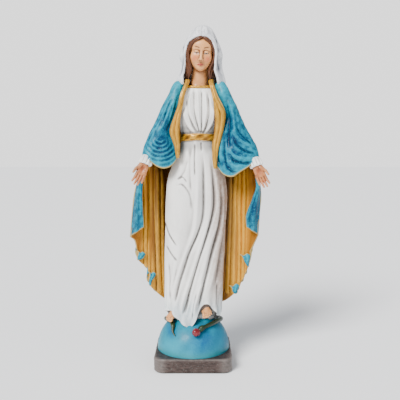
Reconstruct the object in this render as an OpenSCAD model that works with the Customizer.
// Madonna statue: a robed and veiled figure with open hands, standing on a
// globe and a serpent, on a square plinth. The figure faces -Y. The origin is
// the centre of the resting face, and +X is the figure's left hand side.

/* [Plinth] */
// Width and depth of the square plinth
plinth_w = 68; // [64:1:90]
// Height of the plinth's top above the table
plinth_h = 12.6; // [9:0.1:20]
// Radius of the plinth's upright corners
plinth_corner_r = 9; // [4:0.5:14]
// Chamfer along the plinth's top edge
plinth_chamfer = 1; // [0.4:0.1:2.5]
// Thickness of the felt pad under the plinth
felt_t = 1; // [0.5:0.1:2]
// How far the felt pad stays inside the plinth's edge
felt_inset = 1.5; // [0.5:0.1:3]

/* [Globe] */
// Radius of the globe
globe_r = 32.5; // [27:0.5:33.5]
// Height of the globe's centre above the plinth's top
globe_rise = 1; // [0:0.5:4]
// Radius of the round spigot that locates the globe on the plinth
spigot_r = 11; // [6:0.5:16]
// Length of the spigot
spigot_l = 6; // [3:0.5:7]

/* [Figure] */
// Height from the globe's top to the top of the veil
figure_h = 254; // [205:1:310]
// Width of the gown below the hands
gown_w = 53; // [44:1:64]
// Height of the head from chin to crown
head_h = 33; // [29:0.5:36]
// Width of the head between the temples
head_w = 20; // [17:0.5:22]
// Radius of the neck
neck_r = 7.6; // [6.5:0.1:8.5]
// Height of the sash round the waist
sash_h = 6; // [4:0.5:9]
// Thickness of the sash
sash_t = 1.4; // [0.8:0.1:2.4]
// Thickness of the braid round the neckline
braid_t = 1.6; // [1:0.1:2.4]

/* [Cloth] */
// Thickness of the mantle
mantle_t = 2; // [1.4:0.1:3]
// Thickness of the gold lining inside the mantle
lining_t = 1; // [0.6:0.1:1.6]
// Thickness of the turned back front edges
lapel_t = 3; // [2:0.1:4]
// Thickness of the veil
veil_t = 2.2; // [1.4:0.1:3]
// Thickness of the hair between the head and the veil
hair_t = 2.6; // [1.6:0.1:3.4]

/* [Hands and feet] */
// Length of a hand from wrist to fingertip
hand_l = 21; // [17:0.5:25]
// Width of the palm
palm_w = 9; // [7:0.5:11]
// Thickness of the palm
palm_t = 4.4; // [3.6:0.1:6]
// Radius of the wrist
wrist_r = 3.2; // [2.8:0.1:4]
// Radius of the steel pin inside each wrist
wrist_pin_r = 0.8; // [0.6:0.1:1.2]
// Length of each wrist pin
wrist_pin_l = 20; // [14:0.5:24]
// Width of a foot
foot_w = 8.5; // [6:0.5:10]

/* [Serpent] */
// Radius of the serpent's body
serpent_r = 2.3; // [1.6:0.1:3]
// Radius of the apple in the serpent's jaws
apple_r = 3.6; // [2.6:0.1:4.4]

/* [Armature] */
// Radius of the steel dowel between the plinth and the figure
dowel_r = 3; // [2:0.5:5]
// How far the dowel reaches up into the gown
dowel_up = 50; // [20:1:90]

/* [Hidden] */

$fn = 64;
glue_gap = 0.05;            // radial room for glue round a dowel, spigot or tenon
soft_fn = 14;               // steps round a blended shape
cut_fn = 32;                // steps round a cutter that clears a true round
ring_steps = 32;            // steps round a gown ring
drawn_h = 254;              // figure height that the rows below were drawn at
drawn_w = 53;               // gown width that the rows below were drawn at
h_scale = figure_h / drawn_h;
w_scale = gown_w / drawn_w;

globe_z = plinth_h + globe_rise;
foot_z = globe_z + globe_r;          // top of the globe, where heights start
tenon_l = 9;                         // how far the neck reaches into the gown
cuff_l = 8;                          // length of a cuff along the forearm

// ---- Rows: [height above the globe, centre x, centre y, half width, half depth]

gown_rows = [
    [-15, -0.3, -0.5, 24.2, 21.6], [4, -0.3, -0.5, 25.2, 20.6],
    [39, 0.2, 0, 26.1, 18.5], [74, 1.6, 0, 26.5, 17.5],
    [101, 2.9, 0, 26.8, 17], [121, 3.2, 0, 25, 16],
    [136, 3.8, 0, 20.5, 14], [149, 4.3, 0, 15.8, 11.2],
    [161, 4.4, 0, 15.8, 11.2], [171, 4.6, 0, 17.8, 13],
    [184, 5, 0.5, 19.5, 12.8], [194, 5.4, 1, 18.5, 10.6],
    [200, 5.8, 1.5, 13.2, 9.2], [204, 6, 1.5, 9.8, 8.2]
];

// Veil rows, outside face
veil_rows = [
    [203, 6.6, 4, 21.5, 16.5], [207, 6.8, 4, 20.2, 16.6],
    [212, 7.1, 3.6, 18, 16.6], [217, 7.1, 3.4, 17, 16.8],
    [226, 6.7, 3.2, 18.6, 17.4], [231, 6.8, 3.2, 17.8, 17.2],
    [236, 7.4, 3.2, 15.8, 16], [243, 7.6, 3, 13, 13.6],
    [249, 8, 3, 9, 9.6], [253, 8.2, 2.8, 4, 4.4], [254, 8.2, 2.8, 0.6, 0.7]
];

// Share of the head's height above the chin, centre y, share of half width and half depth
head_rows = [
    [0, -9.4, 0.26, 0.16], [0.06, -7.6, 0.52, 0.34], [0.18, -3.4, 0.8, 0.66],
    [0.34, -0.8, 0.94, 0.86], [0.52, 0.4, 1, 0.98], [0.72, 1, 1, 1],
    [0.9, 1.4, 0.8, 0.82], [1, 1.4, 0.24, 0.26]
];
head_d = 28;                // depth of the head from brow to nape
chin_h = 214;               // height of the chin above the globe
head_x = 7;                 // where the middle of the face stands
head_tilt = 4;              // lean of the head towards its left shoulder

// Wing of the mantle on the right hand side of the figure: each column runs from
// the hem to the shoulder as [height, x, y], from the front edge towards the back.
wing_right_hand = [
    [[77, -43.6, -9], [108, -45, -9], [137, -39, -3], [165, -30, 2], [190, -17.5, 3], [203, -10, 2]],
    [[67, -55.5, -3], [108, -49.5, -1], [137, -43, 2], [165, -33, 5], [190, -19.5, 6], [203, -12.5, 5]],
    [[46, -50.5, 4], [108, -43, 5], [137, -38, 7], [165, -29.5, 9], [190, -18.5, 9.5], [203, -12, 8]],
    [[22, -39.5, 8], [108, -34, 11], [137, -29, 12.5], [165, -22.5, 13], [190, -14.5, 12.5], [203, -9, 10.5]]
];
wing_left_hand = [
    [[77, 47, -9], [90, 46.5, -9], [110, 54, -9], [137, 50, -3], [165, 38, 2], [190, 27.5, 3], [203, 22, 2]],
    [[69, 57, -3], [90, 58.3, -2], [110, 58, -1], [137, 53, 2], [165, 41, 5], [190, 29.5, 6], [203, 24.5, 5]],
    [[44, 50, 4], [90, 50, 5], [110, 50, 5], [137, 46, 7], [165, 38, 9], [190, 28.5, 9.5], [203, 24, 8]],
    [[20, 39.5, 8], [90, 39.5, 10], [110, 40, 11], [137, 36, 12.5], [165, 31, 13], [190, 24.5, 12.5], [203, 21, 10.5]]
];
back_angles = [132, 118, 104, 90, 76, 62, 48];
back_hem = 1;               // height of the mantle's hem at the back
back_ease = 3;              // how far the mantle stands off the shoulders behind
side_hem = 7;               // height of the hem where the wings begin

// Sleeve rows: [height, inner x, outer x, front y, back y]
sleeve_rows_right_hand = [
    [129.8, -26, -24, -15, -13], [131.6, -31, -18.5, -18, -8], [135, -38, -14.5, -19.6, -4],
    [139, -43.5, -13, -20, -1], [145, -43, -13.6, -19.5, 2], [152, -41, -16, -18.5, 5],
    [161, -37.6, -18.8, -16.5, 7], [173, -32.6, -15.6, -14.5, 8], [184, -28, -12.4, -12.8, 8],
    [195, -22.6, -9, -10.4, 8], [204, -17, -5.6, -6, 7]
];
sleeve_rows_left_hand = [
    [122.5, 29, 31, -15, -13], [125, 24.5, 36, -18, -8], [130, 21, 43, -19.6, -4],
    [136, 19, 54, -20, -1], [142, 19, 56.5, -19.5, 2], [150, 20, 53, -18.5, 5],
    [160, 23, 49, -16.5, 7], [173, 27.4, 42.6, -14.5, 8], [184, 25, 37.4, -12.8, 8],
    [195, 20.5, 32.4, -10.4, 8], [204, 17.5, 27.5, -6, 7]
];

// Lapel rows: [height, inner x, outer x, y of the middle]
lapel_rows_right_hand = [
    [141, -13.6, -11.6, -15], [147, -14.5, -10.8, -15.5], [154, -17, -10.2, -15],
    [161, -19.2, -10, -13.5], [173, -16, -9.2, -13.5], [184, -12.6, -7.6, -12.8],
    [195, -8.6, -5.6, -9.6], [202, -5.6, -3, -7.5]
];
lapel_rows_left_hand = [
    [130, 18, 20, -15], [137, 16.6, 19.2, -16.5], [147, 16, 20, -15.5], [154, 16.4, 22.6, -15],
    [165, 18, 26, -13.5], [176, 19, 27.4, -13], [184, 18.8, 25, -12.6],
    [193, 17, 20.4, -9.6], [201, 14.8, 17, -7]
];

// Wrists: [x, y, height], and how far the forearm and hand swing out from vertical
wrist_right_hand = [-41.2, -15.5, 133.5];
wrist_left_hand = [54.6, -15.5, 131.5];
hand_swing = 21;            // outward swing of each hand from straight down
hand_lift = 16;             // forward lift of each hand

// Feet: centre of the toes [x, y, height above the globe], and outward turn
toes_right_foot = [-20.4, -13.5, -3.2];
toes_left_foot = [12, -18.2, 0.6];
turn_right_foot = -32;
turn_left_foot = 8;

// Serpent's path over the globe: [azimuth, polar angle from the top, share of body radius]
serpent_path = [
    [-123, 60, 0.25], [-131, 54, 0.55], [-136, 46, 0.85], [-150, 41, 1], [-175, 43, 1],
    [-205, 50, 1], [-235, 53, 1], [-270, 54, 1], [-305, 53, 1], [-335, 50, 1],
    [-355, 46, 1], [-382, 42, 1], [-410, 44, 0.95], [-428, 45, 0.9], [-437, 49, 0.95]
];

// ---- Curves

// Catmull-Rom point between b and c
function between(a, b, c, d, t) =
    0.5 * (2 * b + (c - a) * t + (2 * a - 5 * b + 4 * c - d) * t * t
        + (3 * b - a - 3 * c + d) * t * t * t);

// Smooth curve through rows, with n steps between each two
function smooth(rows, n) = let (last = len(rows) - 1) concat(
    [for (i = [0:last - 1], k = [0:n - 1])
        between(rows[max(i - 1, 0)], rows[i], rows[i + 1], rows[min(i + 2, last)], k / n)],
    [rows[last]]
);

// Row at height h, read off straight between rows
function row_at(rows, h) =
    [for (k = [1:len(rows[0]) - 1]) lookup(h, [for (r = rows) [r[0], r[k]]])];

function unit(v) = v / max(norm(v), 1e-9);

// A drawn place, at the figure's real size
function place(x, y, h) = [x * w_scale, y * w_scale, foot_z + h * h_scale];

// Point on an elliptical row at an angle, grown by g millimetres
function on_row(row, h, angle, g = 0) = [
    row[0] * w_scale + (row[2] * w_scale + g) * cos(angle),
    row[1] * w_scale + (row[3] * w_scale + g) * sin(angle),
    foot_z + h * h_scale
];

function gown_fine() = smooth(gown_rows, 2);

function gown_point(h, angle, g = 0) = on_row(row_at(gown_fine(), h), h, angle, g);

// ---- Solids from points

// Closed skin through rings of the same number of points
module skin(rings, closed = false) {
    n = len(rings);
    m = len(rings[0]);
    sides = [
        for (i = [0:closed ? n - 1 : n - 2], j = [0:m - 1])
            let (i2 = (i + 1) % n, j2 = (j + 1) % m)
                each [[i * m + j, i2 * m + j2, i * m + j2], [i * m + j, i2 * m + j, i2 * m + j2]]
    ];
    ends = closed ? [] : [
        [for (j = [0:m - 1]) j],
        [for (j = [m - 1:-1:0]) (n - 1) * m + j]
    ];
    polyhedron(points = [for (r = rings) each r], faces = concat(sides, ends));
}

function grid_normal(g, i, j) =
    let (
        a = g[min(i + 1, len(g) - 1)][j] - g[max(i - 1, 0)][j],
        b = g[i][min(j + 1, len(g[0]) - 1)] - g[i][max(j - 1, 0)]
    ) unit(cross(a, b));

function offset_grid(g, t) =
    [for (i = [0:len(g) - 1]) [for (j = [0:len(g[0]) - 1]) g[i][j] + t * grid_normal(g, i, j)]];

// Closed sheet between two grids of points
module sheet(front, back) {
    n = len(front);
    m = len(front[0]);
    b = n * m;
    faces = concat(
        [for (i = [0:n - 2], j = [0:m - 2]) let (p = i * m + j)
            each [[p, p + m, p + m + 1], [p, p + m + 1, p + 1]]],
        [for (i = [0:n - 2], j = [0:m - 2]) let (p = b + i * m + j)
            each [[p, p + m + 1, p + m], [p, p + 1, p + m + 1]]],
        [for (i = [0:n - 2]) let (p = i * m)
            each [[p, b + p, b + p + m], [p, b + p + m, p + m]]],
        [for (i = [0:n - 2]) let (p = i * m + m - 1)
            each [[p, p + m, b + p + m], [p, b + p + m, b + p]]],
        [for (j = [0:m - 2])
            each [[j, j + 1, b + j + 1], [j, b + j + 1, b + j]]],
        [for (j = [0:m - 2]) let (p = (n - 1) * m + j)
            each [[p, b + p, b + p + 1], [p, b + p + 1, p + 1]]]
    );
    polyhedron(points = concat([for (r = front) each r], [for (r = back) each r]), faces = faces);
}

// A carved shape, worked out as one surface at its own size
module carved() {
    resize([0, 0, 0]) children();
}

// Tube along a path of [point, radius], with n sides
module tube(path, n = 10) {
    last = len(path) - 1;
    skin([for (i = [0:last])
        let (
            along = unit(path[min(i + 1, last)][0] - path[max(i - 1, 0)][0]),
            side = unit(cross(along, [0, 0, 1])),
            up = cross(side, along)
        ) [for (j = [0:n - 1]) let (a = -360 * j / n)
            path[i][0] + path[i][1] * (cos(a) * side + sin(a) * up)]
    ]);
}

// ---- Base

module rounded_block(w, h, r, c) {
    flat = w - 2 * r;
    side = [[-w / 2, 0], [w / 2, 0], [w / 2, h - c], [w / 2 - c, h], [-w / 2 + c, h], [-w / 2, h - c]];
    for (x = [-1, 1], y = [-1, 1])
        translate([x * flat / 2, y * flat / 2, 0])
            rotate_extrude() polygon([[0, 0], [r, 0], [r, h - c], [r - c, h], [0, h]]);
    for (turn = [0, 90])
        rotate([90, 0, turn]) linear_extrude(flat, center = true) polygon(side);
}

module rounded_plate(w, h, r) {
    flat = w - 2 * r;
    for (x = [-1, 1], y = [-1, 1])
        translate([x * flat / 2, y * flat / 2, 0]) cylinder(r = r, h = h);
    translate([-w / 2, -flat / 2, 0]) cube([w, flat, h]);
    translate([-flat / 2, -w / 2, 0]) cube([flat, w, h]);
}

module felt_pad() {
    color("darkolivegreen") rounded_plate(plinth_w - 2 * felt_inset, felt_t, plinth_corner_r - felt_inset);
}

module plinth() {
    color("rosybrown") difference() {
        translate([0, 0, felt_t])
            rounded_block(plinth_w, plinth_h - felt_t, plinth_corner_r, plinth_chamfer);
        translate([0, 0, plinth_h - spigot_l - glue_gap])
            cylinder(r = spigot_r + glue_gap, h = spigot_l + 1);
    }
}

module globe_ball() {
    translate([0, 0, globe_z]) sphere(r = globe_r);
}

// The globe as a cutter with fewer facets, which stay just outside the ball
module globe_cutter() {
    translate([0, 0, globe_z]) sphere(r = globe_r / pow(cos(180 / 40), 2), $fn = 40);
}

module globe() {
    color("deepskyblue") difference() {
        union() {
            difference() {
                globe_ball();
                translate([0, 0, plinth_h - globe_r]) cube([3 * globe_r, 3 * globe_r, 2 * globe_r], center = true);
            }
            translate([0, 0, plinth_h - spigot_l]) cylinder(r = spigot_r, h = spigot_l + globe_rise + 1);
        }
        translate([0, 0, plinth_h - spigot_l / 2]) cylinder(r = dowel_r + glue_gap, h = 2 * globe_r);
    }
}

dowel_low = plinth_h - spigot_l / 2 + glue_gap;
dowel_l = foot_z + dowel_up - dowel_low;

module base_dowel() {
    color("silver") translate([0, 0, dowel_low]) cylinder(r = dowel_r, h = dowel_l);
}

// Room for the dowel inside a carved piece
module dowel_bore() {
    translate([0, 0, dowel_low - glue_gap])
        cylinder(r = (dowel_r + glue_gap) / cos(180 / cut_fn), h = dowel_l + 2 * glue_gap, $fn = cut_fn);
}

// ---- Serpent and apple

function serpent_point(p, lift = 0) = let (r = globe_r + serpent_r * p[2] + lift) [
    r * sin(p[1]) * cos(p[0]), r * sin(p[1]) * sin(p[0]), globe_z + r * cos(p[1])
];

serpent_fine = smooth(serpent_path, 3);
serpent_last = serpent_path[len(serpent_path) - 1];
serpent_head_at = serpent_point(serpent_last, 0.6);
apple_at = serpent_point([serpent_last[0] - 8, serpent_last[1] + 5, apple_r / serpent_r], 0.3);

module serpent_body() {
    tube([for (p = serpent_fine) [serpent_point(p, 0.2), serpent_r * p[2]]]);
    hull() {
        translate(serpent_head_at) sphere(r = serpent_r * 1.25, $fn = soft_fn);
        translate(apple_at) sphere(r = serpent_r * 0.95, $fn = soft_fn);
    }
}

module apple_cutter() {
    translate(apple_at) sphere(r = apple_r / pow(cos(180 / cut_fn), 2), $fn = cut_fn);
}

module serpent() {
    color("darkgreen") carved() difference() {
        serpent_body();
        globe_cutter();
        apple_cutter();
    }
}

module apple() {
    color("crimson") translate(apple_at) sphere(r = apple_r);
}

// ---- Feet

module foot_shape(toes, turn) {
    foot_l = 2.6 * foot_w;
    translate(place(toes[0], toes[1], 0)) translate([0, 0, toes[2]]) rotate([0, 0, turn]) {
        hull() {
            for (k = [-1, 1])
                translate([k * foot_w * 0.28, 0.6, 0]) sphere(r = foot_w * 0.22, $fn = soft_fn);
            translate([0, foot_l * 0.45, foot_w * 0.5]) sphere(r = foot_w * 0.42, $fn = soft_fn);
        }
        for (k = [0:4])
            translate([(k / 4 - 0.5) * foot_w * 0.84, -0.8 - 1.1 * sin(45 * k), -0.4])
                sphere(r = foot_w * 0.13, $fn = 8);
    }
}

module foot(toes, turn) {
    carved() difference() {
        foot_shape(toes, turn);
        globe_cutter();
        serpent_body();
        apple_cutter();
        dowel_bore();
    }
}

module foot_left() {
    color("burlywood") foot(toes_left_foot, turn_left_foot);
}

module foot_right() {
    color("burlywood") foot(toes_right_foot, turn_right_foot);
}

// ---- Gown, sash and braid

module gown_shape(g = 0) {
    skin([for (r = gown_fine()) [for (k = [0:ring_steps - 1])
        on_row([r[1], r[2], r[3], r[4]], r[0], 360 * k / ring_steps, g)]]);
}

module gown() {
    color("ivory") carved() difference() {
        gown_shape();
        globe_cutter();
        serpent_body();
        foot_shape(toes_left_foot, turn_left_foot);
        foot_shape(toes_right_foot, turn_right_foot);
        apple_cutter();
        neck_shape();
        dowel_bore();
    }
}

sash_mid = 156;             // height of the middle of the sash above the globe

module sash() {
    half = sash_h / 2 / h_scale;
    color("goldenrod") carved() difference() {
        skin([for (h = [sash_mid - half, sash_mid - half * 0.8, sash_mid + half * 0.8, sash_mid + half])
            [for (k = [0:ring_steps - 1])
                gown_point(h, 360 * k / ring_steps, abs(h - sash_mid) < half * 0.9 ? sash_t : sash_t / 2)]]);
        gown_shape();
        lining_shape();
        mantle_shape();
    }
}

module braid_shape() {
    skin([for (k = [0:35]) let (
        a = 10 * k,
        c = gown_point(202.4 - 1.5 * (1 - sin(a)), a, braid_t / 4),
        out = [cos(a), sin(a), 0]
    ) [for (j = [0:7]) c + braid_t / 2 * (cos(45 * j) * out - sin(45 * j) * [0, 0, 1])]], closed = true);
}

module neck_braid() {
    color("goldenrod") carved() difference() {
        braid_shape();
        gown_shape();
        neck_shape();
        lining_shape();
        mantle_shape();
        front_cloth();
    }
}

// ---- Mantle and its lining

function column(rows, n) = let (fine = smooth(rows, 4), low = rows[0][0], high = rows[len(rows) - 1][0])
    [for (k = [0:n]) let (h = low + (high - low) * k / n, r = row_at(fine, h)) place(r[0], r[1], h)];

function back_column(angle, n) =
    let (low = back_hem + (side_hem - back_hem) * abs(angle - 90) / 42, high = 203)
    [for (k = [0:n])
        gown_point(low + (high - low) * k / n, angle, lining_t + back_ease * pow(k / n, 2))];

drape_steps = 13;
drape_columns = concat(
    [for (c = wing_right_hand) column(c, drape_steps)],
    [for (a = back_angles) back_column(a, drape_steps)],
    [for (i = [len(wing_left_hand) - 1:-1:0]) column(wing_left_hand[i], drape_steps)]
);
drape = smooth(drape_columns, 2);

module mantle_shape() {
    sheet(offset_grid(drape, -mantle_t), drape);
}

module lining_shape() {
    sheet(drape, offset_grid(drape, lining_t));
}

module mantle() {
    color("deepskyblue") carved() difference() {
        mantle_shape();
        gown_shape();
        globe_cutter();
        serpent_body();
    }
}

module mantle_lining() {
    color("goldenrod") carved() difference() {
        lining_shape();
        mantle_shape();
        gown_shape();
        globe_cutter();
        serpent_body();
    }
}

module lapel_shape(rows) {
    skin([for (r = smooth(rows, 2)) [for (k = [0:11]) let (a = 30 * k)
        place((r[1] + r[2]) / 2, r[3], r[0])
            + [(r[2] - r[1]) / 2 * w_scale * cos(a), lapel_t * (0.5 + sin(a)), 0]]]);
}

module lapel(rows) {
    color("goldenrod") carved() difference() {
        lapel_shape(rows);
        gown_shape(0.01);
        sash_envelope();
        lining_shape();
        mantle_shape();
    }
}

module sash_envelope() {
    half = sash_h / 2 / h_scale;
    skin([for (h = [sash_mid - half, sash_mid + half]) [for (k = [0:ring_steps - 1])
        gown_point(h, 360 * k / ring_steps, sash_t + 0.05)]]);
}

module lapel_left() {
    lapel(lapel_rows_left_hand);
}

module lapel_right() {
    lapel(lapel_rows_right_hand);
}

// ---- Sleeves, cuffs and hands

module sleeve_shape(rows) {
    skin([for (r = smooth(rows, 2)) [for (k = [0:19]) let (a = 18 * k)
        place((r[1] + r[2]) / 2 + (r[2] - r[1]) / 2 * cos(a), (r[3] + r[4]) / 2 + (r[4] - r[3]) / 2 * sin(a), r[0])]]);
}

// Frame at a wrist, with +Z back up the forearm and -Y out of the palm
module at_wrist(wrist, swing) {
    translate(place(wrist[0], wrist[1], wrist[2])) rotate([-hand_lift, swing, 0]) children();
}

module cuff_shape(wrist, swing) {
    at_wrist(wrist, swing) cylinder(r1 = wrist_r + 1.6, r2 = wrist_r + 2.8, h = cuff_l);
}

module sleeve(rows, lapel_rows, wrist, swing) {
    color("deepskyblue") carved() difference() {
        sleeve_shape(rows);
        mantle_shape();
        lining_shape();
        gown_shape();
        sash_envelope();
        lapel_shape(lapel_rows);
        cuff_shape(wrist, swing);
        at_wrist(wrist, swing) cylinder(r = wrist_pin_r, h = wrist_pin_l);
    }
}

module sleeve_left() {
    sleeve(sleeve_rows_left_hand, lapel_rows_left_hand, wrist_left_hand, -hand_swing);
}

module sleeve_right() {
    sleeve(sleeve_rows_right_hand, lapel_rows_right_hand, wrist_right_hand, hand_swing);
}

module cuff(wrist, swing) {
    color("ghostwhite") difference() {
        cuff_shape(wrist, swing);
        at_wrist(wrist, swing) translate([0, 0, -1]) cylinder(r = wrist_r + glue_gap, h = cuff_l / 2 + 1);
        at_wrist(wrist, swing) cylinder(r = wrist_pin_r + glue_gap, h = wrist_pin_l);
    }
}

module cuff_left() {
    cuff(wrist_left_hand, -hand_swing);
}

module cuff_right() {
    cuff(wrist_right_hand, hand_swing);
}

module wrist_pin(wrist, swing) {
    color("silver") at_wrist(wrist, swing) translate([0, 0, -wrist_pin_l / 2])
        cylinder(r = wrist_pin_r, h = wrist_pin_l);
}

module wrist_pin_left() {
    wrist_pin(wrist_left_hand, -hand_swing);
}

module wrist_pin_right() {
    wrist_pin(wrist_right_hand, hand_swing);
}

module finger(l, r) {
    rotate([180, 0, 0]) rotate_extrude()
        polygon([[0, -1], [r, -1], [r * 0.94, l * 0.6], [r * 0.74, l * 0.93], [r * 0.3, l], [0, l]]);
}

// An open hand, palm forward: thumb on the side given, fingers down
module hand(wrist, swing, thumb) {
    palm_l = hand_l * 0.5;
    finger_r = palm_w / 8.6;
    lengths = [0.42, 0.5, 0.47, 0.38];
    color("burlywood") at_wrist(wrist, swing) difference() {
        union() {
            translate([0, 0, -palm_l * 0.5]) cylinder(r = wrist_r, h = palm_l * 0.5 + cuff_l / 2 - glue_gap);
            hull() {
                translate([0, 0, -2]) sphere(r = palm_t / 2 + 0.2, $fn = soft_fn);
                for (k = [-1, 1])
                    translate([k * (palm_w - palm_t) / 2, 0, -palm_l + 1]) sphere(r = palm_t / 2, $fn = soft_fn);
            }
            for (k = [0:3])
                translate([thumb * (1.5 - k) * palm_w / 4.1, 0, -palm_l])
                    rotate([5, thumb * (1.5 - k) * -3, 0]) finger(hand_l * lengths[k], finger_r);
            translate([thumb * palm_w * 0.36, -0.6, -palm_l * 0.4])
                rotate([12, thumb * -34, 0]) finger(hand_l * 0.4, finger_r * 1.15);
        }
        translate([0, 0, -wrist_pin_l / 2 - glue_gap]) cylinder(r = wrist_pin_r + glue_gap, h = wrist_pin_l);
    }
}

module hand_left() {
    hand(wrist_left_hand, -hand_swing, 1);
}

module hand_right() {
    hand(wrist_right_hand, hand_swing, -1);
}

// ---- Head, hair and veil

module head_frame() {
    translate([head_x * w_scale, 0, foot_z + chin_h * h_scale]) rotate([0, head_tilt, 0]) children();
}

module skull(grow = 0) {
    head_frame() skin([for (r = smooth(head_rows, 2)) [for (k = [0:23]) let (a = 15 * k) [
        (r[2] * head_w / 2 + grow) * cos(a),
        r[1] + (r[3] * head_d / 2 + grow) * sin(a),
        r[0] * (head_h + 2 * grow) - grow
    ]]]);
}

module neck_shape() {
    low = foot_z + 203 * h_scale - tenon_l;
    translate([head_x * w_scale - 0.7, 0.5, low])
        cylinder(r = neck_r, h = foot_z + chin_h * h_scale + head_h * 0.3 - low, $fn = 24);
}

module head() {
    color("burlywood") carved() difference() {
        union() {
            skull();
            neck_shape();
            // nose
            head_frame() hull() {
                translate([0, -13.2, head_h * 0.29]) sphere(r = 1.5, $fn = 12);
                translate([0, -12.4, head_h * 0.52]) sphere(r = 0.9, $fn = 12);
            }
        }
        dowel_bore();
    }
}

module veil_shape(g) {
    skin([for (r = smooth(veil_rows, 2)) [for (k = [0:23])
        let (a = 15 * k, shrink = max(0.15, 1 + g / (min(r[3], r[4]) * w_scale)))
            on_row([r[1], r[2], r[3] * shrink, r[4] * shrink], r[0] + (r[0] > 240 ? g / h_scale * (r[0] - 240) / 14 : 0), a)]]);
}

// Opening of the veil round the face, or of the hair when it is drawn in
module face_opening(inset) {
    head_frame() hull() {
        for (p = [[0, head_h * 0.46, head_w * 0.66], [0.3, -6, head_w * 0.62], [0.4, -16, head_w * 0.84]])
            translate([p[0], 0, p[1]]) rotate([90, 0, 0]) cylinder(r = p[2] - inset, h = 30, $fn = 24);
    }
}

// Sleeves and lapels together
module front_cloth() {
    for (rows = [sleeve_rows_left_hand, sleeve_rows_right_hand]) sleeve_shape(rows);
    for (rows = [lapel_rows_left_hand, lapel_rows_right_hand]) lapel_shape(rows);
}

module veil() {
    color("white") carved() difference() {
        veil_shape(0);
        veil_shape(-veil_t);
        face_opening(0);
        skull();
        neck_shape();
        gown_shape();
        mantle_shape();
        lining_shape();
        front_cloth();
    }
}

module hair(side) {
    far = 60;
    color("saddlebrown") carved() difference() {
        veil_shape(-veil_t);
        skull();
        neck_shape();
        face_opening(hair_t);
        gown_shape(0.01);
        mantle_shape();
        lining_shape();
        front_cloth();
        braid_shape();
        head_frame() translate([side > 0 ? -2 * far : 0, -far, -far]) cube(2 * far);
    }
}

module hair_left() {
    hair(1);
}

module hair_right() {
    hair(-1);
}

felt_pad();
plinth();
globe();
base_dowel();
serpent();
apple();
gown();
foot_left();
foot_right();
sash();
neck_braid();
mantle();
mantle_lining();
lapel_left();
lapel_right();
sleeve_left();
sleeve_right();
cuff_left();
cuff_right();
hand_left();
hand_right();
wrist_pin_left();
wrist_pin_right();
head();
hair_left();
hair_right();
veil();
